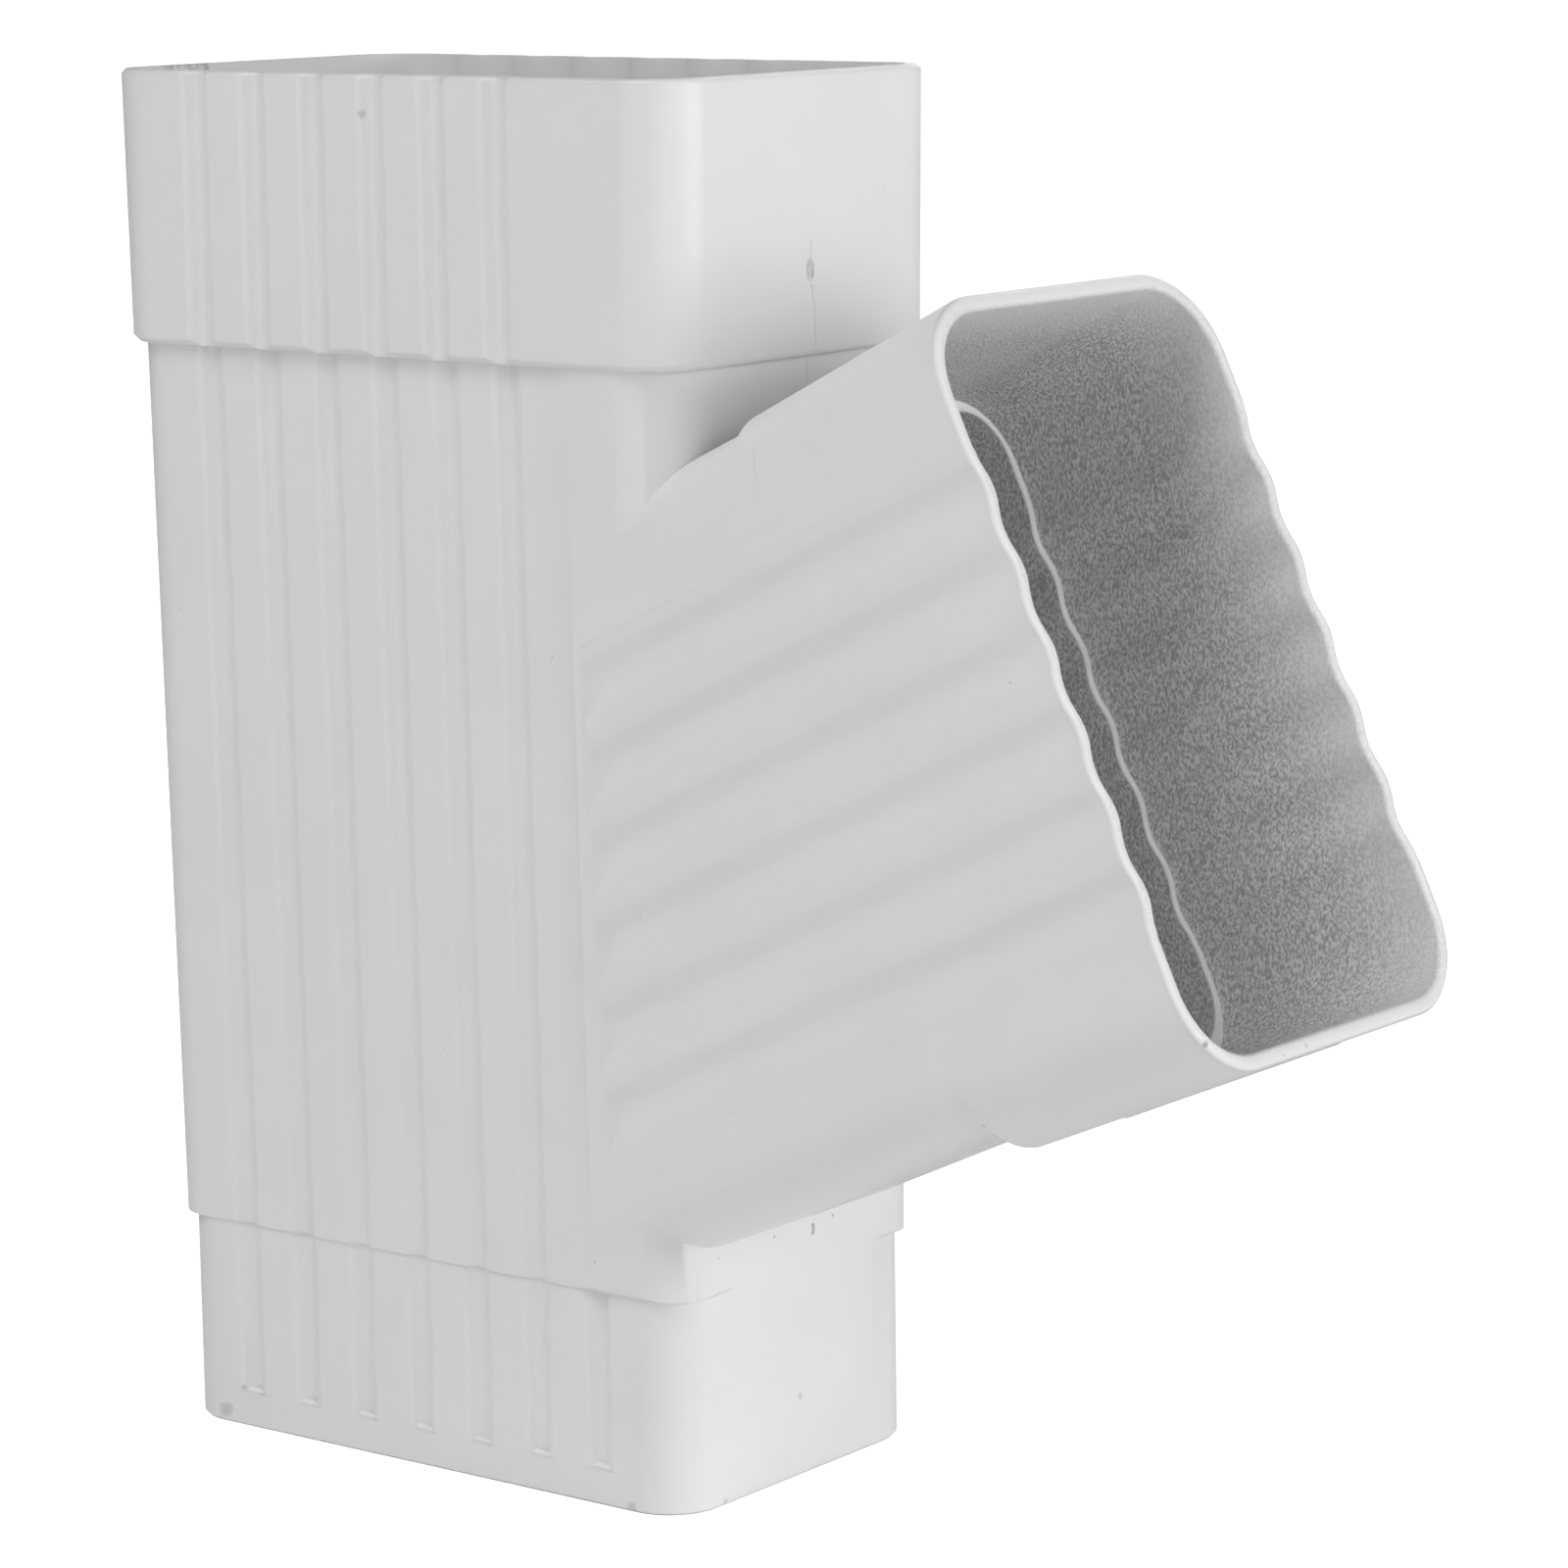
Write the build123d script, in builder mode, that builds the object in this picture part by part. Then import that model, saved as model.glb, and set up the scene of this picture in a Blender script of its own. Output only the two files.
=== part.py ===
from build123d import *
from math import cos, radians, sin
import os

# A moulded rainwater fitting: an upright rectangular trunk with a socket on top and a spigot
# at its foot, and a branch that leaves its narrow side upwards and ends in a socket of its own.
# Millimetres. X runs along the trunk's broad side towards the branch, Y through its depth.
# The origin is the middle of the spigot's open foot.

# Trunk, from the foot up. Width is along X, depth along Y.
wall = 2.0
spigot_width = 80.0
spigot_depth = 46.6
spigot_length = 26.0
spigot_corner = 6.8
body_length = 108.0
body_width_bottom = 82.3
body_width_top = 83.2
body_depth_bottom = 48.1
body_depth_top = 50.9
body_corner = 7.5
socket_length = 32.5
socket_width_bottom = 86.3
socket_width_top = 87.4
socket_depth = 52.7
socket_corner = 7.4

# Branch, from the trunk out. Its width is square to its axis, in the plane of X and Z.
branch_rise = 25.0
branch_start_height = 58.1
branch_reach = 106.6
branch_start = 28.0
branch_depth_start = 49.6
branch_depth_mouth = 55.4
bore_depth_mouth = 53.0
neck_width = 83.4
neck_corner = 8.4
neck_shift = 0.6
collar_length = 33.4
collar_width_inner = 87.6
collar_width_mouth = 89.6
collar_corner = 11.0

# Flutes: shallow grooves in both broad sides, which stand out as ribs on the inside.
flute_pitch = 9.24
flute_width = 4.8
flute_depth = 1.0
rib_extra_width = 1.6
trunk_flutes = 6
spigot_flutes = 7
spigot_plain_foot = 4.2
flute_end_run = 1.2
branch_waves = 6
wave_depth = 0.95
wave_inset = 0.15
wave_end_run = 1.9

# The body's fluted field lies back a little, up to a sloping edge near the branch.
field_recess = 0.5
field_edge_run = 3.0
field_corner = 6.3

# Edges, and the ledges inside that stop a pipe
lip_bevel = 0.55
foot_bevel = 0.4
body_foot_bevel = 0.6
socket_foot_bevel = 0.8
collar_foot_bevel = 1.2
ledge = 2.4

body_bottom = spigot_length
body_top = body_bottom + body_length
trunk_top = body_top + socket_length
field_edge = branch_start - field_edge_run
first_flute = -3 * flute_pitch
neck_length = branch_reach - collar_length
branch_axis = (cos(radians(branch_rise)), 0, sin(radians(branch_rise)))
branch_across = (sin(radians(branch_rise)), 0, -cos(radians(branch_rise)))
branch_base = Plane(origin=(0, 0, branch_start_height), x_dir=branch_across, z_dir=branch_axis)
trunk_base = Plane.XY


def block(base, start, end, widths, depths, corner, shift=0):
    """A block along a plane's normal, whose width and depth go from a first to a last value."""
    across = Plane(origin=base.origin, x_dir=base.x_dir, z_dir=-base.y_dir)
    along = Plane(origin=base.origin, x_dir=base.y_dir, z_dir=base.x_dir)
    with BuildPart() as made:
        with BuildSketch(across):
            with BuildLine():
                Polyline((shift - widths[0] / 2, start), (shift + widths[0] / 2, start),
                         (shift + widths[1] / 2, end), (shift - widths[1] / 2, end), close=True)
            make_face()
        extrude(amount=max(depths), both=True)
        with BuildSketch(along):
            with BuildLine():
                Polyline((-depths[0] / 2, start), (depths[0] / 2, start),
                         (depths[1] / 2, end), (-depths[1] / 2, end), close=True)
            make_face()
        extrude(amount=2 * max(widths), both=True, mode=Mode.INTERSECT)
        if corner > 0:
            fillet(upright_edges(made, base), corner)
    return made.part


def upright_edges(made, base):
    """The edges that run along a block, from its left to its right."""
    ends = made.faces().sort_by(Axis(base.origin, base.z_dir))
    return (made.edges() - ends[0].edges() - ends[-1].edges()).sort_by(Axis(base.origin, base.x_dir))


def foot_ring(base, width, depth, corner, bevel):
    """What a bevel takes off all round the foot of a block."""
    with BuildPart() as ring:
        with BuildSketch(base.offset(-bevel)):
            Rectangle(width + 8 * bevel, depth + 8 * bevel)
        extrude(amount=3 * bevel)
        add(block(base, -bevel, 2 * bevel, (width - 4 * bevel, width + 2 * bevel),
                  (depth - 4 * bevel, depth + 2 * bevel), corner), mode=Mode.SUBTRACT)
    return ring.part


def leaning(base, level, lean, side):
    """A plane square to a broad face that leans, with its origin on that face."""
    foot = base.origin + base.y_dir * (side * level)
    return Plane(origin=foot, x_dir=base.x_dir, z_dir=base.z_dir + base.y_dir * (side * lean))


def flutes(count, side):
    """Separate flutes from the left: a hollow between two soft shoulders. Side is 1 for +Y, -1 for -Y."""
    lid = side * flute_depth
    half = flute_width / 2
    with BuildSketch() as row:
        for k in range(count):
            middle = first_flute + k * flute_pitch
            turn_in = (middle - half / 2, -lid / 2)
            turn_out = (middle + half / 2, -lid / 2)
            with BuildLine():
                TangentArc((middle - half, 0), turn_in, tangent=(1, 0))
                ThreePointArc(turn_in, (middle, -lid), turn_out)
                TangentArc((middle + half, 0), turn_out, tangent=(-1, 0))
                Polyline((middle + half, 0), (middle + half, lid), (middle - half, lid), (middle - half, 0))
            make_face()
    return row.sketch


def ribs(count, side):
    """The low rounded ribs on the inside that keep the wall even behind the flutes."""
    lid = side * flute_depth
    half = (flute_width + rib_extra_width) / 2
    with BuildSketch() as row:
        for k in range(count):
            middle = first_flute + k * flute_pitch
            with BuildLine():
                ThreePointArc((middle - half, 0), (middle, -lid), (middle + half, 0))
                Polyline((middle + half, 0), (middle + half, lid), (middle - half, lid), (middle - half, 0))
            make_face()
    return row.sketch


def waves(side):
    """The branch's row of flutes, which follow each other without flats."""
    half = branch_waves * flute_pitch / 2
    lid = side * 2 * wave_depth
    turn = flute_pitch / 4
    level = -side * wave_depth / 2
    with BuildSketch() as row:
        with BuildLine():
            TangentArc((-half, 0), (-half + turn, level), tangent=(1, 0))
            for k in range(branch_waves):
                left = k * flute_pitch - half
                if k > 0:
                    ThreePointArc((left - turn, level), (left, 0), (left + turn, level))
                ThreePointArc((left + turn, level), (left + 2 * turn, 2 * level), (left + 3 * turn, level))
            TangentArc((half, 0), (half - turn, level), tangent=(-1, 0))
            Polyline((half, 0), (half + flute_width, lid), (-half - flute_width, lid), (-half, 0))
        make_face()
    return row.sketch


def branch_depth(reach, mouth_depth):
    """Depth of the branch at a distance along its axis, for a depth at its mouth."""
    run = (reach - branch_start) / (branch_reach - branch_start)
    return branch_depth_start + (mouth_depth - branch_depth_start) * run


def wave_cutter(inset, mouth_depth):
    """The waves of both broad sides of the branch, which end at the trunk on an upright slope."""
    level = branch_depth(0, mouth_depth) / 2 - inset
    lean = (branch_depth(branch_reach, mouth_depth) / 2 - inset - level) / branch_reach
    outer = branch_depth_start / 2 - inset + 4 * wave_depth
    inner = branch_depth_start / 2 - inset - 4 * wave_depth
    with BuildPart() as cutter:
        for side in (1, -1):
            with BuildSketch(leaning(branch_base, level - wave_inset, lean, side)):
                add(waves(side))
            extrude(amount=2 * branch_reach)
        with BuildSketch(Plane.XY):
            with BuildLine():
                Polyline((-branch_reach, outer), (branch_start - 3 * wave_end_run, outer),
                         (branch_start + 5 * wave_end_run, inner), (branch_start + 5 * wave_end_run, -inner),
                         (branch_start - 3 * wave_end_run, -outer), (-branch_reach, -outer), close=True)
            make_face()
        extrude(amount=3 * branch_reach, both=True, mode=Mode.SUBTRACT)
    return cutter.part


# The outside and the hollow are made alike: the hollow is smaller by the wall all round.
forms = []
for hollow in (False, True):
    inset = wall if hollow else 0
    grooves = ribs if hollow else flutes
    step = ledge if hollow else 0

    # Spigot, with flutes that run out above its foot
    with BuildPart() as spigot_cut:
        for side in (1, -1):
            with BuildSketch(leaning(trunk_base.offset(spigot_plain_foot), spigot_depth / 2 - inset, 0, side)):
                add(grooves(spigot_flutes, side))
            extrude(amount=spigot_length)
        run_out = (spigot_depth / 2 - inset + 2 * flute_depth, spigot_depth / 2 - inset - 2 * flute_depth)
        low = spigot_plain_foot - 2 * flute_end_run
        high = spigot_plain_foot + 2 * flute_end_run
        with BuildSketch(Plane.YZ):
            with BuildLine():
                Polyline((run_out[0], 0), (run_out[0], low), (run_out[1], high), (-run_out[1], high),
                         (-run_out[0], low), (-run_out[0], 0), close=True)
            make_face()
        extrude(amount=spigot_width, both=True, mode=Mode.SUBTRACT)
    with BuildPart() as spigot:
        add(block(trunk_base, 0, body_bottom + step, [spigot_width - 2 * inset] * 2,
                  [spigot_depth - 2 * inset] * 2, spigot_corner - inset))
        add(spigot_cut.part, mode=Mode.SUBTRACT)

    # Body, whose broad sides carry a field of flutes up to where the branch begins
    body_lean = (body_depth_top - body_depth_bottom) / 2 / body_length
    field_level = body_depth_bottom / 2 - field_recess - inset
    body_foot = trunk_base.offset(body_bottom)
    with BuildPart() as body:
        add(block(body_foot, step, body_length + step,
                  (body_width_bottom - 2 * inset, body_width_top - 2 * inset),
                  (body_depth_bottom - 2 * inset, body_depth_top - 2 * inset), 0))
        for side in (1, -1):
            with BuildSketch(leaning(body_foot, field_level, body_lean, side)):
                with BuildLine():
                    Polyline((-body_width_top, 0), (field_edge, 0),
                             (field_edge + 3 * field_edge_run, 3 * side * field_recess),
                             (-body_width_top, 3 * side * field_recess), close=True)
                make_face()
            extrude(amount=2 * body_length, both=True, mode=Mode.SUBTRACT)
        uprights = upright_edges(body, body_foot)
        fillet(uprights[:2], field_corner - inset)
        uprights = upright_edges(body, body_foot)
        fillet(uprights[-2:], body_corner - inset)
        if not hollow:
            add(foot_ring(body_foot, body_width_bottom, body_depth_bottom, body_corner, body_foot_bevel),
                mode=Mode.SUBTRACT)
        for side in (1, -1):
            with BuildSketch(leaning(body_foot, field_level, body_lean, side)):
                add(grooves(trunk_flutes, side))
            extrude(amount=2 * body_length, both=True, mode=Mode.SUBTRACT)

    # Socket on top, with the body's flutes carried on in it
    with BuildPart() as socket:
        add(block(trunk_base, body_top + step, trunk_top,
                  (socket_width_bottom - 2 * inset, socket_width_top - 2 * inset),
                  [socket_depth - 2 * inset] * 2, socket_corner - inset))
        if not hollow:
            chamfer(socket.faces().sort_by(Axis.Z)[0].edges(), socket_foot_bevel)
        for side in (1, -1):
            with BuildSketch(leaning(trunk_base.offset(body_top), socket_depth / 2 - inset, 0, side)):
                add(grooves(trunk_flutes, side))
            extrude(amount=2 * socket_length, mode=Mode.SUBTRACT)

    # Branch: a neck that starts in the trunk's broad sides, and a collar at its mouth. Outside,
    # one leaning face runs over both; inside, a ledge between them stops the pipe.
    neck_mouth = bore_depth_mouth if hollow else branch_depth_mouth
    neck_end = neck_length + (ledge if hollow else 4 * collar_foot_bevel)
    with BuildPart() as neck:
        add(block(branch_base, 0, neck_end, [neck_width - 2 * inset] * 2,
                  (branch_depth(0, neck_mouth) - 2 * inset, branch_depth(neck_end, neck_mouth) - 2 * inset),
                  neck_corner - inset, -neck_shift))
        with Locations((branch_start, 0, 0)):
            Box(branch_reach, 2 * socket_depth, 4 * trunk_top, align=(Align.MAX, Align.CENTER, Align.CENTER),
                mode=Mode.SUBTRACT)
    collar_from = neck_length + step
    with BuildPart() as collar:
        add(block(branch_base, collar_from, branch_reach,
                  (collar_width_inner - 2 * inset, collar_width_mouth - 2 * inset),
                  (branch_depth(collar_from, branch_depth_mouth) - 2 * inset, branch_depth_mouth - 2 * inset),
                  collar_corner - inset))
        if hollow:
            add(wave_cutter(inset, branch_depth_mouth), mode=Mode.SUBTRACT)
        else:
            chamfer(collar.faces().sort_by(Axis(branch_base.origin, branch_axis))[0].edges(), collar_foot_bevel)
    with BuildPart() as middle:
        add(body.part)
        add(neck.part)
        if not hollow:
            add(collar.part)
        add(wave_cutter(inset, neck_mouth), mode=Mode.SUBTRACT)

    if hollow:
        forms.append([middle.part, spigot.part, socket.part, collar.part])
    else:
        forms.append([middle.part, spigot.part, socket.part])

with BuildPart() as y_connector:
    for piece in forms[0]:
        add(piece)
    for piece in forms[1]:
        add(piece, mode=Mode.SUBTRACT)
    chamfer(y_connector.faces().sort_by(Axis.Z)[0].edges(), foot_bevel)
    chamfer(y_connector.faces().sort_by(Axis.Z)[-1].outer_wire().edges(), lip_bevel)
    chamfer(y_connector.faces().sort_by(Axis(branch_base.origin, branch_axis))[-1].edges(), lip_bevel)

y_connector.part.label = "y_connector"
os.makedirs("parts", exist_ok=True)
export_step(y_connector.part, "parts/y_connector.step")
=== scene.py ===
from math import cos, radians, sin

import bpy
from mathutils import Matrix, Vector


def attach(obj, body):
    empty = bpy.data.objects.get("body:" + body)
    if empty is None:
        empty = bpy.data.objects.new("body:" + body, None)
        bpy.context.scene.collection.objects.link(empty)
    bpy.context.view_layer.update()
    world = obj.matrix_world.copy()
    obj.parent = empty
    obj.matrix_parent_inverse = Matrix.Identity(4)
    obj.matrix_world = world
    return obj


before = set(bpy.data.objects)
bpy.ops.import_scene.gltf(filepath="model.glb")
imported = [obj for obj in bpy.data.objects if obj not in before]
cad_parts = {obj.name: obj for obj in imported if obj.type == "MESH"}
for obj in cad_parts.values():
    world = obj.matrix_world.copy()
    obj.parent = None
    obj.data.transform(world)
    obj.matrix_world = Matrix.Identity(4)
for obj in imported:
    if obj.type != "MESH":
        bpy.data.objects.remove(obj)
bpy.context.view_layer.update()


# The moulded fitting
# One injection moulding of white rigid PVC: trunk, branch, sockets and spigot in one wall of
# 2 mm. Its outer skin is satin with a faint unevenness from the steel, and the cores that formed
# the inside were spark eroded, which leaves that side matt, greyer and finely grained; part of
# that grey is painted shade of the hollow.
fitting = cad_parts["y_connector"]
branch_rise = radians(25)
branch_root = Vector((0, 0, 0.0581))
branch_axis = Vector((cos(branch_rise), 0, sin(branch_rise)))
branch_across = Vector((sin(branch_rise), 0, -cos(branch_rise)))

pvc = bpy.data.materials.new("white_pvc")
pvc.use_nodes = True
nodes = pvc.node_tree.nodes
links = pvc.node_tree.links
nodes.clear()
place = nodes.new("ShaderNodeTexCoord").outputs["Object"]


def reckon(operation, *values):
    """A math node on sockets or plain numbers."""
    step = nodes.new("ShaderNodeMath")
    step.operation = operation
    for socket, value in zip(step.inputs, values):
        if isinstance(value, (int, float)):
            socket.default_value = value
        else:
            links.new(value, socket)
    return step.outputs[0]


def spread(value, low, high, first, last):
    """A value's way from low to high turned into a way from first to last, and held beyond."""
    step = nodes.new("ShaderNodeMapRange")
    links.new(value, step.inputs["Value"])
    for name, number in zip(("From Min", "From Max", "To Min", "To Max"), (low, high, first, last)):
        step.inputs[name].default_value = number
    return step.outputs["Result"]


def along(direction, root):
    """Distance of the shaded point from a root along a direction."""
    shift = nodes.new("ShaderNodeVectorMath")
    shift.operation = "SUBTRACT"
    links.new(place, shift.inputs[0])
    shift.inputs[1].default_value = root
    dot = nodes.new("ShaderNodeVectorMath")
    dot.operation = "DOT_PRODUCT"
    links.new(shift.outputs[0], dot.inputs[0])
    dot.inputs[1].default_value = direction
    return dot.outputs["Value"]


def beyond(across, depth, half_width, half_depth, corner):
    """Distance outside a rounded rectangle, below zero within it."""
    side = reckon("SUBTRACT", reckon("ABSOLUTE", across), reckon("SUBTRACT", half_width, corner))
    front = reckon("SUBTRACT", reckon("ABSOLUTE", depth), reckon("SUBTRACT", half_depth, corner))
    square = reckon("ADD", reckon("POWER", reckon("MAXIMUM", side, 0.0), 2.0),
                    reckon("POWER", reckon("MAXIMUM", front, 0.0), 2.0))
    within = reckon("MINIMUM", reckon("MAXIMUM", side, front), 0.0)
    return reckon("SUBTRACT", reckon("ADD", reckon("SQRT", square), within), corner)


def noise(scale, detail=2.0, roughness=0.5, vector=None):
    """A noise texture's value, at a number of waves to the metre."""
    step = nodes.new("ShaderNodeTexNoise")
    links.new(vector or place, step.inputs["Vector"])
    step.inputs["Scale"].default_value = scale
    step.inputs["Detail"].default_value = detail
    step.inputs["Roughness"].default_value = roughness
    return step.outputs["Fac"]


trunk_side = along((1, 0, 0), (0, 0, 0))
depth = along((0, 1, 0), (0, 0, 0))
height = along((0, 0, 1), (0, 0, 0))
reach = along(branch_axis, branch_root)
across = along(branch_across, branch_root)

# The trunk, told apart into spigot, body and socket, and the branch, into neck and collar: what
# lies deep enough under their outer skin is the inner one.
spigot_top, body_top = 0.026, 0.134
body_half_widths, body_half_depths, trunk_corner = (0.04115, 0.0416), (0.02405, 0.02545), 0.007
spigot_less_width, spigot_less_depth = 0.00115, 0.00075
socket_more_width, socket_more_depth = 0.0018, 0.0009
trunk_skin_depth = 0.00175
in_spigot = reckon("LESS_THAN", height, spigot_top)
in_socket = reckon("GREATER_THAN", height, body_top)
trunk_half_width = reckon("ADD", spread(height, spigot_top, body_top, *body_half_widths),
                          reckon("SUBTRACT", reckon("MULTIPLY", in_socket, socket_more_width),
                                 reckon("MULTIPLY", in_spigot, spigot_less_width)))
trunk_half_depth = reckon("ADD", spread(height, spigot_top, body_top, *body_half_depths),
                          reckon("SUBTRACT", reckon("MULTIPLY", in_socket, socket_more_depth),
                                 reckon("MULTIPLY", in_spigot, spigot_less_depth)))
past_trunk = beyond(trunk_side, depth, trunk_half_width, trunk_half_depth, trunk_corner)
in_trunk = reckon("LESS_THAN", past_trunk, -trunk_skin_depth)

branch_start, collar_start, stop_ledge, branch_mouth = 0.028, 0.0732, 0.0756, 0.1066
neck_half_width, collar_more_widths, neck_lift = 0.0417, (0.0021, 0.0031), 0.0006
branch_half_depths, branch_corner, near_branch = (0.0248, 0.0277), 0.0095, 0.027
branch_skin_depth, ledge_half_thickness = 0.00155, 0.0002
in_collar = reckon("GREATER_THAN", reach, collar_start)
collar_more_width = spread(reach, collar_start, branch_mouth, *collar_more_widths)
branch_half_width = reckon("ADD", neck_half_width, reckon("MULTIPLY", in_collar, collar_more_width))
branch_half_depth = spread(reach, branch_start, branch_mouth, *branch_half_depths)
branch_middle = reckon("ADD", across,
                       reckon("SUBTRACT", neck_lift, reckon("MULTIPLY", in_collar, neck_lift)))
past_branch = beyond(branch_middle, depth, branch_half_width, branch_half_depth, branch_corner)
in_branch = reckon("MULTIPLY", reckon("GREATER_THAN", trunk_side, near_branch),
                   reckon("LESS_THAN", past_branch, -branch_skin_depth))
on_ledge = reckon("COMPARE", reach, stop_ledge, ledge_half_thickness)
inside = reckon("MAXIMUM", in_trunk,
                reckon("MULTIPLY", in_branch, reckon("SUBTRACT", 1.0, on_ledge)))

# The spark-eroded grain inside, in short upright strokes, fades out in the last millimetres
# before the mouths.
grain_waves, grain_draw, grain_relief = 3200, (1.0, 1.0, 0.55), 0.00018
satin_waves, satin_relief_depth, satin_strength = 420, 0.00002, 0.35
short_of_mouth = reckon("MULTIPLY", spread(reach, 0.094, 0.1055, 1.0, 0.25),
                        spread(height, 0.148, 0.160, 1.0, 0.0))
# This mask carries the grain's relief and the bore's tone, whose grey is partly painted shade; both
# fade out near the mouths.
grain_and_shade_inside = reckon("MULTIPLY", inside, short_of_mouth)
drawn_out = nodes.new("ShaderNodeVectorMath")
drawn_out.operation = "MULTIPLY"
drawn_out.inputs[1].default_value = grain_draw
links.new(place, drawn_out.inputs[0])
grain = noise(grain_waves, 1.0, 0.6, drawn_out.outputs[0])
coarse_relief = nodes.new("ShaderNodeBump")
coarse_relief.inputs["Distance"].default_value = grain_relief
links.new(grain_and_shade_inside, coarse_relief.inputs["Strength"])
links.new(grain, coarse_relief.inputs["Height"])
satin_relief = nodes.new("ShaderNodeBump")
satin_relief.inputs["Distance"].default_value = satin_relief_depth
links.new(reckon("MULTIPLY", reckon("SUBTRACT", 1.0, inside), satin_strength),
          satin_relief.inputs["Strength"])
links.new(noise(satin_waves, 1.0), satin_relief.inputs["Height"])
links.new(coarse_relief.outputs["Normal"], satin_relief.inputs["Normal"])

# Tiny dark specks in the plastic, and soil where the fitting was handled and set down: scuffs on
# the rim, the mouth's lip and under the branch, and paler smudges at the foot, on the socket,
# inside the mouth and in the nick of the parting line. Each is a place and its radius.
speck_cells, speck_size, speck_strength, ragged_waves = 120, 0.014, 0.45, 1100
specks = nodes.new("ShaderNodeTexVoronoi")
specks.inputs["Scale"].default_value = speck_cells
links.new(place, specks.inputs["Vector"])


def near_marks(*marks):
    """Distance to the nearest of some marks, counted in that mark's own radius."""
    nearest = 9.0  # radii, past every mark's reach
    for x, y, z, radius in marks:
        gap = nodes.new("ShaderNodeVectorMath")
        gap.operation = "DISTANCE"
        links.new(place, gap.inputs[0])
        gap.inputs[1].default_value = (x, y, z)
        nearest = reckon("MINIMUM", reckon("DIVIDE", gap.outputs["Value"], radius), nearest)
    return nearest


scuffs = near_marks((-0.0424, -0.0158, 0.1664, 0.0009), (-0.0424, -0.0140, 0.1664, 0.0007),
                    (-0.0424, -0.0126, 0.1664, 0.0008), (-0.0424, -0.0111, 0.1664, 0.0008),
                    (-0.0424, -0.0096, 0.1664, 0.0009), (0.1136, -0.0249, 0.0666, 0.0004),
                    (0.0412, -0.0066, 0.0309, 0.0002), (0.0412, 0.0048, 0.0311, 0.0002),
                    (0.0412, 0.0009, 0.0306, 0.0003), (0.0412, 0.0009, 0.0302, 0.0003),
                    (0.0412, 0.0008, 0.0298, 0.0003))
smudges = near_marks((-0.0324, -0.0233, 0.0015, 0.0009), (-0.0294, -0.0232, 0.0048, 0.0004),
                     (-0.0014, -0.0261, 0.1619, 0.0005), (0.0400, -0.0152, 0.0004, 0.0004),
                     (0.0325, -0.0233, 0.0005, 0.0006), (0.1152, -0.0075, 0.0634, 0.0003),
                     (0.0820, 0.0238, 0.0809, 0.0004), (0.0277, -0.0233, 0.0257, 0.0005),
                     (0.0400, -0.0007, 0.0099, 0.0005), (0.0434, -0.0001, 0.1445, 0.0006),
                     (0.0433, 0.0001, 0.1435, 0.0006))
ragged = reckon("MULTIPLY", reckon("SUBTRACT", noise(ragged_waves, 1.0), 0.5), 1.6)
speckled = reckon("MULTIPLY", reckon("LESS_THAN", specks.outputs["Distance"], speck_size),
                  speck_strength)
scuffed = spread(reckon("ADD", scuffs, ragged), 0.6, 1.3, 0.6, 0.0)
smudged = spread(reckon("ADD", smudges, ragged), 0.5, 1.4, 0.3, 0.0)
soiled = reckon("MAXIMUM", speckled, reckon("MAXIMUM", scuffed, smudged))


def mixed(factor, first, last):
    """A colour between two, either of them a socket or a plain colour."""
    step = nodes.new("ShaderNodeMix")
    step.data_type = "RGBA"
    links.new(factor, step.inputs[0])
    for socket, colour in zip((step.inputs[6], step.inputs[7]), (first, last)):
        if isinstance(colour, tuple):
            socket.default_value = colour
        else:
            links.new(colour, socket)
    return step.outputs[2]


# The outer skin's tone drifts a little. Inside, the bore's grey is partly painted shade; painted
# light makes it paler on the lower wall and painted shade darker past the ledge. The ledge's
# narrow face is polished, and its near-white colour is a painted highlight.
skin_colour = (0.80, 0.80, 0.80, 1)
bore_grey_and_shade_colour = (0.61, 0.61, 0.61, 1)
ledge_highlight_colour = (0.97, 0.97, 0.97, 1)
soil_colour = (0.16, 0.155, 0.15, 1)
satin_roughness, bore_rougher, pvc_index = (0.38, 0.46), 0.2, 1.53
uneven = nodes.new("ShaderNodeHueSaturation")
uneven.inputs["Color"].default_value = skin_colour
links.new(spread(noise(60, 3.0), 0.3, 0.7, 0.985, 1.012), uneven.inputs["Value"])
bore_grain_and_shade_tone = nodes.new("ShaderNodeHueSaturation")
bore_grain_and_shade_tone.inputs["Color"].default_value = bore_grey_and_shade_colour
# Painted light on the lower inner wall and painted shade past the ledge.
painted_light_below = spread(across, -0.035, 0.035, 0.98, 1.27)
painted_shade_deep_in = spread(reach, 0.074, 0.077, 0.9, 1.0)
links.new(reckon("MULTIPLY", spread(grain, 0.36, 0.64, 0.68, 1.26),
                 reckon("MULTIPLY", painted_light_below, painted_shade_deep_in)), bore_grain_and_shade_tone.inputs["Value"])
tone = mixed(grain_and_shade_inside, uneven.outputs["Color"], bore_grain_and_shade_tone.outputs["Color"])
# The ledge's narrow face gets a painted highlight.
tone = mixed(reckon("MULTIPLY", on_ledge, in_branch), tone, ledge_highlight_colour)
tone = mixed(soiled, tone, soil_colour)
skin = nodes.new("ShaderNodeBsdfPrincipled")
skin.inputs["IOR"].default_value = pvc_index
links.new(tone, skin.inputs["Base Color"])
links.new(reckon("ADD", reckon("MULTIPLY", inside, bore_rougher),
                 spread(noise(90, 2.0), 0.3, 0.7, *satin_roughness)), skin.inputs["Roughness"])
links.new(satin_relief.outputs["Normal"], skin.inputs["Normal"])
surface_out = nodes.new("ShaderNodeOutputMaterial")
links.new(skin.outputs["BSDF"], surface_out.inputs["Surface"])
fitting.data.materials.clear()
fitting.data.materials.append(pvc)

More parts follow.
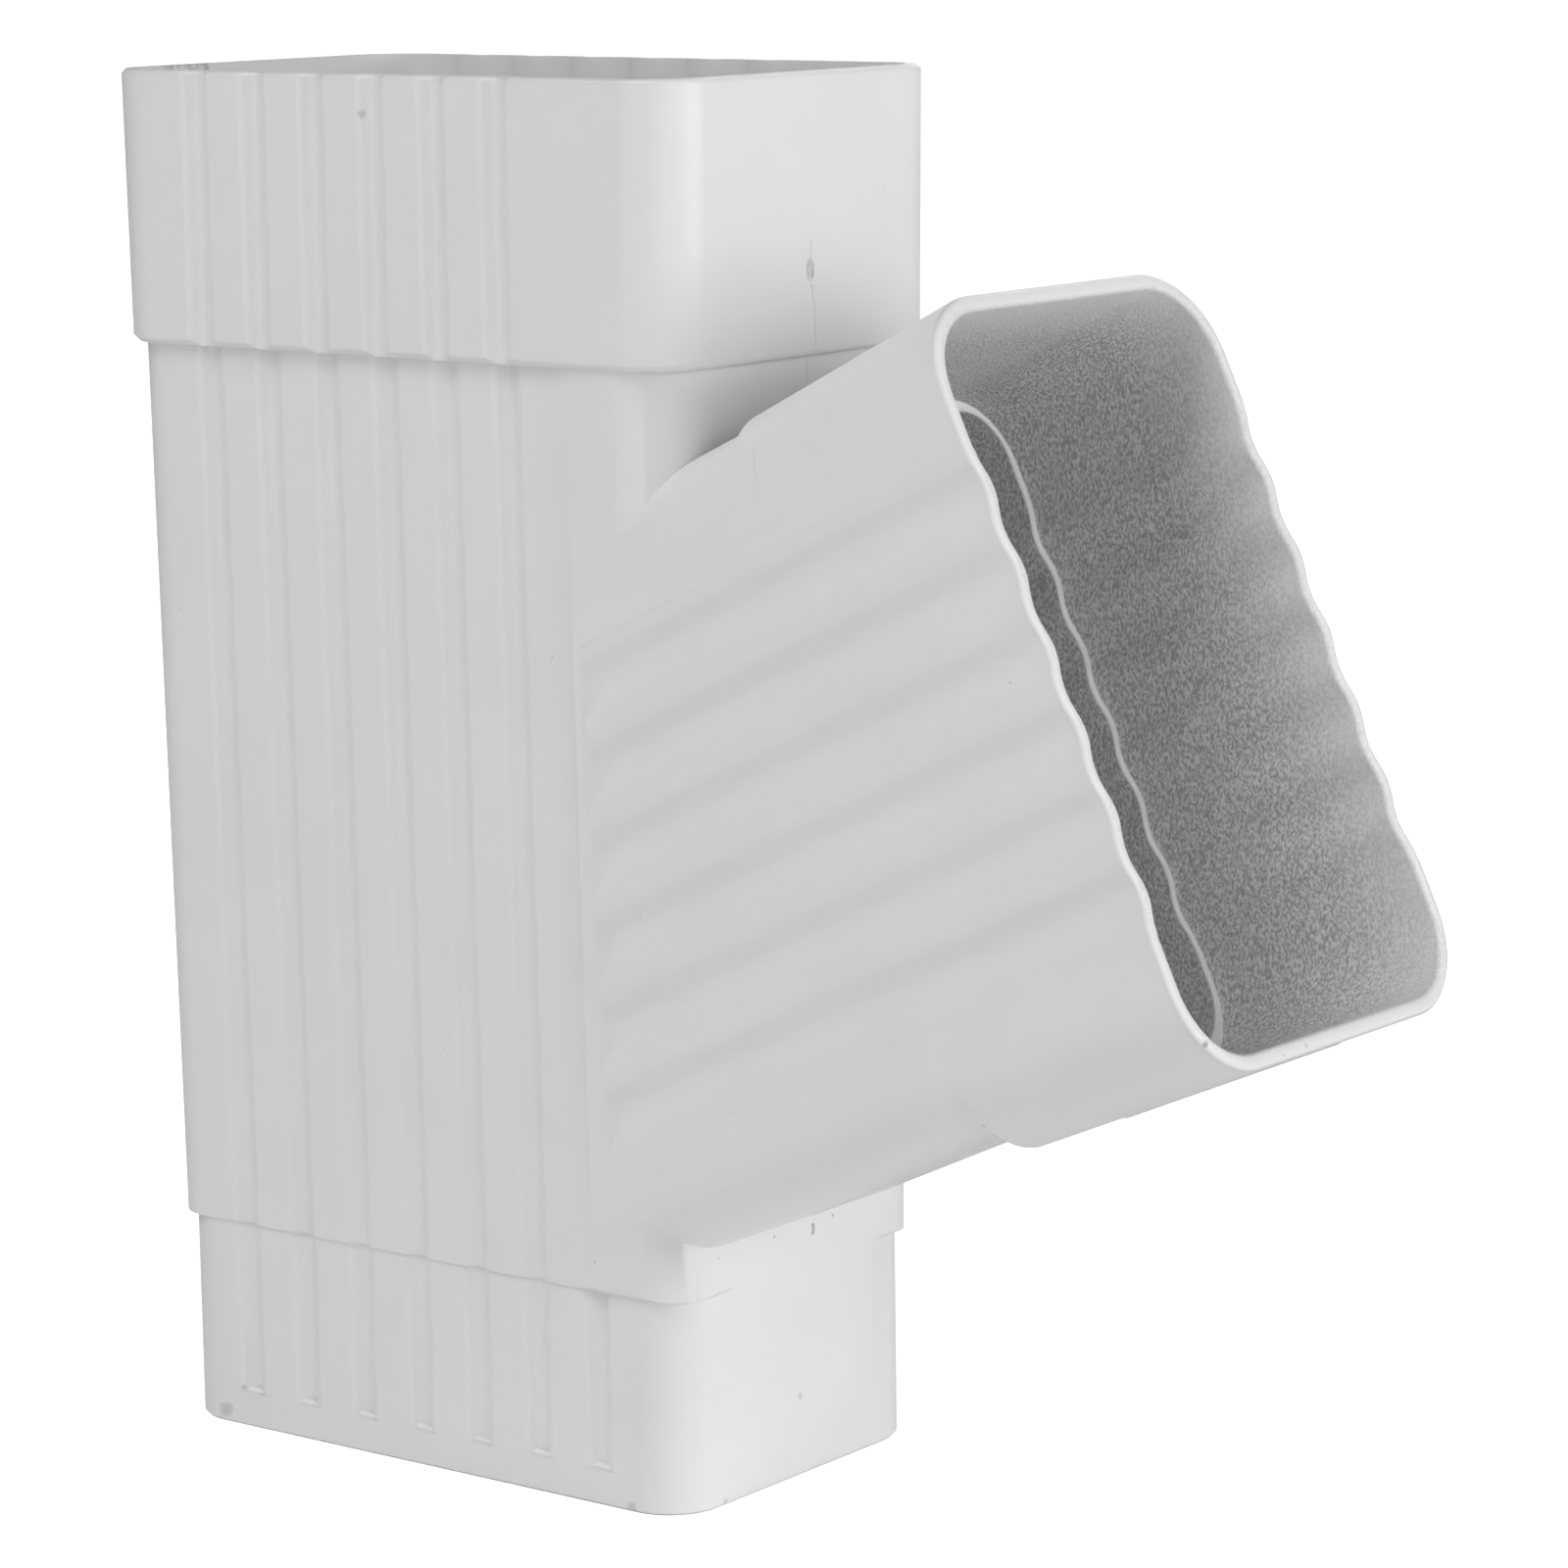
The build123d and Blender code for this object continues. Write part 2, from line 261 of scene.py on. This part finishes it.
# Curved walls are shaded as the smooth steel left them, with a crease only at real steps.
smooth = bpy.data.node_groups.new("smooth_skin", "GeometryNodeTree")
smooth.interface.new_socket("Geometry", in_out="INPUT", socket_type="NodeSocketGeometry")
join_within = smooth.interface.new_socket("Join within", in_out="INPUT",
                                          socket_type="NodeSocketFloat")
crease_from = smooth.interface.new_socket("Crease from", in_out="INPUT",
                                          socket_type="NodeSocketFloat")
smooth.interface.new_socket("Geometry", in_out="OUTPUT", socket_type="NodeSocketGeometry")
given = smooth.nodes.new("NodeGroupInput")
made = smooth.nodes.new("NodeGroupOutput")
joined = smooth.nodes.new("GeometryNodeMergeByDistance")
soft_faces = smooth.nodes.new("GeometryNodeSetShadeSmooth")
sharp_edges = smooth.nodes.new("GeometryNodeSetShadeSmooth")
sharp_edges.domain = "EDGE"
sharp_edges.inputs["Shade Smooth"].default_value = False
fold = smooth.nodes.new("GeometryNodeInputMeshEdgeAngle")
steep = smooth.nodes.new("FunctionNodeCompare")
steep.operation = "GREATER_THAN"
for out_socket, in_socket in ((given.outputs["Geometry"], joined.inputs["Geometry"]),
                              (given.outputs["Join within"], joined.inputs["Distance"]),
                              (joined.outputs["Geometry"], soft_faces.inputs["Geometry"]),
                              (soft_faces.outputs["Geometry"], sharp_edges.inputs["Geometry"]),
                              (fold.outputs["Unsigned Angle"], steep.inputs["A"]),
                              (given.outputs["Crease from"], steep.inputs["B"]),
                              (steep.outputs["Result"], sharp_edges.inputs["Selection"]),
                              (sharp_edges.outputs["Geometry"], made.inputs["Geometry"])):
    smooth.links.new(out_socket, in_socket)
skin_finish = fitting.modifiers.new("smooth_skin", "NODES")
skin_finish.node_group = smooth
skin_finish[join_within.identifier] = 0.000001
skin_finish[crease_from.identifier] = radians(50)
even_flats = fitting.modifiers.new("even_flats", "WEIGHTED_NORMAL")
even_flats.mode = "FACE_AREA"
even_flats.weight = 60
even_flats.keep_sharp = True


# The blend under the branch
# Below the branch, the narrow side of the body runs down into the spigot without a step, which
# shows again only at the two corners. It is the same moulding, shown as a thin closed wedge over
# the bare step that starts a hair under the spigot's skin.
blend_low, blend_top, blend_end = 0.004, 0.0268, 0.0286
blend_back, spigot_face, body_face = 0.0395, 0.04, 0.04117
blend_half_width, blend_fade = 0.0175, 0.0055
spigot_corner, spigot_corner_start = 0.0068, 0.0165
hair = 0.00003
columns, rows = 35, 17


def eased(share):
    """A share between 0 and 1 that starts and ends gently."""
    held = min(max(share, 0.0), 1.0)
    return held * held * (3 - 2 * held)


blend_front, blend_rear = [], []
for row in range(rows):
    level = blend_low + (blend_end - blend_low) * row / (rows - 1)
    climb = eased((level - blend_low) / (blend_top - blend_low))
    for column in range(columns):
        side = blend_half_width * (2 * column / (columns - 1) - 1)
        fade = eased((blend_half_width - abs(side)) / blend_fade)
        turn = max(abs(side) - spigot_corner_start, 0.0)
        face = spigot_face - spigot_corner + (spigot_corner ** 2 - turn ** 2) ** 0.5 - hair
        blend_front.append((face + (body_face + hair - spigot_face) * fade * climb, side, level))
        blend_rear.append((blend_back, side, level))
front_points = rows * columns
blend_sides = []
for row in range(rows - 1):
    for column in range(columns - 1):
        first = row * columns + column
        square = (first, first + 1, first + columns + 1, first + columns)
        blend_sides.append(square)
        blend_sides.append(tuple(front_points + corner for corner in reversed(square)))
rim = list(range(columns)) + [row * columns + columns - 1 for row in range(1, rows)]
rim += [(rows - 1) * columns + column for column in range(columns - 2, -1, -1)]
rim += [row * columns for row in range(rows - 2, 0, -1)]
for here, there in zip(rim, rim[1:] + rim[:1]):
    blend_sides.append((there, here, front_points + here, front_points + there))
blend_mesh = bpy.data.meshes.new("branch_foot_blend")
blend_mesh.from_pydata(blend_front + blend_rear, [], blend_sides)
blend_mesh.polygons.foreach_set("use_smooth", [True] * len(blend_mesh.polygons))
blend_mesh.set_sharp_from_angle(angle=radians(40))
blend_mesh.materials.append(pvc)
blend = bpy.data.objects.new("branch_foot_blend", blend_mesh)
bpy.context.scene.collection.objects.link(blend)
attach(blend, "root")


# The parting line
# A low, uneven ridge of flash where the two halves of the mould met, down the middle of the side
# that carries the branch: over the socket, the body and both narrow sides of the branch. On the
# socket it is broken by a nick with a raised rim.
ridge_height, ridge_step = 0.00012, 0.0006
nick_face, nick_height, nick_half_width, nick_half_height = 0.04334, 0.1439, 0.00055, 0.0012
flash_ends = [
    ((0.04338, 0.0001, 0.1474), (0.04336, 0.0001, 0.1453)),
    ((0.04332, 0.0002, 0.1423), (0.04328, 0.0008, 0.1398)),
    ((0.04328, 0.0008, 0.1398), (0.04318, 0.0011, 0.1351)),
    ((0.04160, 0.0013, 0.1337), (0.04157, 0.0016, 0.1246)),
]
for side_inner, side_outer, reach_inner, reach_outer in (
        (-0.0423, -0.0423, 0.0660, 0.0729), (-0.0439, -0.0448, 0.0750, 0.1058),
        (0.0411, 0.0411, 0.0268, 0.0722), (0.0439, 0.0448, 0.0750, 0.1058)):
    flash_ends.append((branch_root + branch_axis * reach_inner + branch_across * side_inner,
                       branch_root + branch_axis * reach_outer + branch_across * side_outer))
nick_rim = [(nick_face, nick_half_width * cos(turn), nick_height + nick_half_height * sin(turn))
            for turn in (radians(30 * k) for k in range(13))]
flash_ends += list(zip(nick_rim, nick_rim[1:]))
flash_mesh = bpy.data.meshes.new("parting_line")
flash_mesh.from_pydata([end for pair in flash_ends for end in pair],
                       [(2 * k, 2 * k + 1) for k in range(len(flash_ends))], [])
flash = bpy.data.objects.new("parting_line", flash_mesh)
bpy.context.scene.collection.objects.link(flash)

ridge = bpy.data.node_groups.new("flash_ridge", "GeometryNodeTree")
ridge.interface.new_socket("Geometry", in_out="INPUT", socket_type="NodeSocketGeometry")
flash_height = ridge.interface.new_socket("Ridge height", in_out="INPUT",
                                          socket_type="NodeSocketFloat")
flash_step = ridge.interface.new_socket("Step", in_out="INPUT", socket_type="NodeSocketFloat")
flash_skin = ridge.interface.new_socket("Material", in_out="INPUT",
                                        socket_type="NodeSocketMaterial")
ridge.interface.new_socket("Geometry", in_out="OUTPUT", socket_type="NodeSocketGeometry")
given = ridge.nodes.new("NodeGroupInput")
made = ridge.nodes.new("NodeGroupOutput")
line = ridge.nodes.new("GeometryNodeMeshToCurve")
steps = ridge.nodes.new("GeometryNodeResampleCurve")
steps.mode = "LENGTH"
swell = ridge.nodes.new("ShaderNodeTexNoise")
swell.inputs["Scale"].default_value = 170
swell.inputs["Detail"].default_value = 3
swell_range = ridge.nodes.new("ShaderNodeMapRange")
for name, number in (("From Min", 0.38), ("From Max", 0.62), ("To Min", 0.25), ("To Max", 1.0)):
    swell_range.inputs[name].default_value = number
swollen = ridge.nodes.new("GeometryNodeSetCurveRadius")
round_bead = ridge.nodes.new("GeometryNodeCurvePrimitiveCircle")
round_bead.inputs["Resolution"].default_value = 8
bead = ridge.nodes.new("GeometryNodeCurveToMesh")
bead.inputs["Fill Caps"].default_value = True
soft = ridge.nodes.new("GeometryNodeSetShadeSmooth")
whole = ridge.nodes.new("GeometryNodeRealizeInstances")
coated = ridge.nodes.new("GeometryNodeSetMaterial")
for out_socket, in_socket in ((given.outputs["Geometry"], line.inputs["Mesh"]),
                              (line.outputs["Curve"], steps.inputs["Curve"]),
                              (given.outputs["Step"], steps.inputs["Length"]),
                              (steps.outputs["Curve"], swollen.inputs["Curve"]),
                              (swell.outputs["Fac"], swell_range.inputs["Value"]),
                              (swell_range.outputs["Result"], swollen.inputs["Radius"]),
                              (swollen.outputs["Curve"], bead.inputs["Curve"]),
                              (given.outputs["Ridge height"], round_bead.inputs["Radius"]),
                              (round_bead.outputs["Curve"], bead.inputs["Profile Curve"]),
                              (bead.outputs["Mesh"], soft.inputs["Geometry"]),
                              (soft.outputs["Geometry"], whole.inputs["Geometry"]),
                              (whole.outputs["Geometry"], coated.inputs["Geometry"]),
                              (given.outputs["Material"], coated.inputs["Material"]),
                              (coated.outputs["Geometry"], made.inputs["Geometry"])):
    ridge.links.new(out_socket, in_socket)
sweep = flash.modifiers.new("flash_ridge", "NODES")
sweep.node_group = ridge
sweep[flash_height.identifier] = ridge_height
sweep[flash_step.identifier] = ridge_step
sweep[flash_skin.identifier] = pvc
swept = bpy.data.meshes.new_from_object(flash.evaluated_get(bpy.context.evaluated_depsgraph_get()))
flash.modifiers.clear()
flash.data = swept
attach(flash, "root")


# The floor, the light and the camera
# A plain pale floor under soft studio light. It is lifted to white, but less so near the foot,
# where its shadow stays. The camera stands where the photograph's did, to the branch's side of
# the broad face and 10 degrees above the level.
floor_half, paper_colour = 6.0, (0.90, 0.90, 0.90, 1)
near_foot, far_off, lift_near, lift_far = 0.1, 0.5, 0.72, 1.0
floor_mesh = bpy.data.meshes.new("floor")
floor_mesh.from_pydata([(-floor_half, -floor_half, 0), (floor_half, -floor_half, 0),
                        (floor_half, floor_half, 0), (-floor_half, floor_half, 0)],
                       [], [(0, 1, 2, 3)])
floor = bpy.data.objects.new("floor", floor_mesh)
bpy.context.scene.collection.objects.link(floor)

paper = bpy.data.materials.new("studio_paper")
paper.use_nodes = True
nodes = paper.node_tree.nodes
links = paper.node_tree.links
nodes.clear()
surface_out = nodes.new("ShaderNodeOutputMaterial")
matt = nodes.new("ShaderNodeBsdfDiffuse")
matt.inputs["Color"].default_value = paper_colour
lift = nodes.new("ShaderNodeEmission")
seen = nodes.new("ShaderNodeLightPath")
both = nodes.new("ShaderNodeAddShader")
from_foot = nodes.new("ShaderNodeVectorMath")
from_foot.operation = "LENGTH"
links.new(nodes.new("ShaderNodeTexCoord").outputs["Object"], from_foot.inputs[0])
floor_lift = spread(from_foot.outputs["Value"], near_foot, far_off, lift_near, lift_far)
links.new(reckon("MULTIPLY", seen.outputs["Is Camera Ray"], floor_lift), lift.inputs["Strength"])
links.new(matt.outputs[0], both.inputs[0])
links.new(lift.outputs[0], both.inputs[1])
links.new(both.outputs[0], surface_out.inputs["Surface"])
floor_mesh.materials.append(paper)

world = bpy.data.worlds.new("studio")
bpy.context.scene.world = world
world.use_nodes = True
nodes = world.node_tree.nodes
links = world.node_tree.links
nodes.clear()
room_level, backdrop_level = 0.1, 1.0
world_out = nodes.new("ShaderNodeOutputWorld")
room = nodes.new("ShaderNodeBackground")
seen = nodes.new("ShaderNodeLightPath")
links.new(spread(seen.outputs["Is Camera Ray"], 0.0, 1.0, room_level, backdrop_level),
          room.inputs["Strength"])
links.new(room.outputs[0], world_out.inputs["Surface"])

aim = Vector((0.03, 0, 0.09))


def softbox(name, lamp_place, width, height, watts):
    """A rectangular lamp that faces the middle of the fitting."""
    lamp = bpy.data.lights.new(name, "AREA")
    lamp.shape = "RECTANGLE"
    lamp.size = width
    lamp.size_y = height
    lamp.energy = watts
    stand = bpy.data.objects.new(name, lamp)
    bpy.context.scene.collection.objects.link(stand)
    facing = (aim - Vector(lamp_place)).to_track_quat("-Z", "Y")
    stand.matrix_world = Matrix.Translation(lamp_place) @ facing.to_matrix().to_4x4()


softbox("low_side_softbox", (1.1, 0.32, 0.26), 0.6, 0.5, 4.9)
softbox("high_side_softbox", (1.0, 0.30, 0.60), 0.7, 0.7, 1.4)
softbox("right_softbox", (1.05, -0.45, 0.45), 0.5, 0.6, 2.6)
softbox("low_front_softbox", (-0.2, -1.15, 0.32), 0.8, 0.6, 1.95)
softbox("high_front_softbox", (-0.35, -0.95, 0.95), 0.8, 0.8, 0.9)
softbox("top_front_softbox", (-0.15, -0.62, 1.15), 0.6, 0.6, 6.2)
softbox("back_softbox", (-0.4, 1.2, 0.6), 0.8, 0.8, 4.0)

camera_place = Vector((0.415596, -0.487258, 0.191103))
heading, look_down, roll = 36.7577, 10.1199, -0.6434
camera_turn = (Matrix.Rotation(radians(heading), 4, "Z")
               @ Matrix.Rotation(radians(90 - look_down), 4, "X")
               @ Matrix.Rotation(radians(roll), 4, "Z"))
lens = bpy.data.cameras.new("camera")
lens.sensor_width = 36
lens.lens = 122.645
lens.shift_x = -0.05775
lens.shift_y = 0.01301
lens.clip_start = 0.01
camera = bpy.data.objects.new("camera", lens)
camera.matrix_world = Matrix.Translation(camera_place) @ camera_turn
bpy.context.scene.collection.objects.link(camera)
bpy.context.scene.camera = camera
bpy.context.scene.view_settings.view_transform = "Standard"
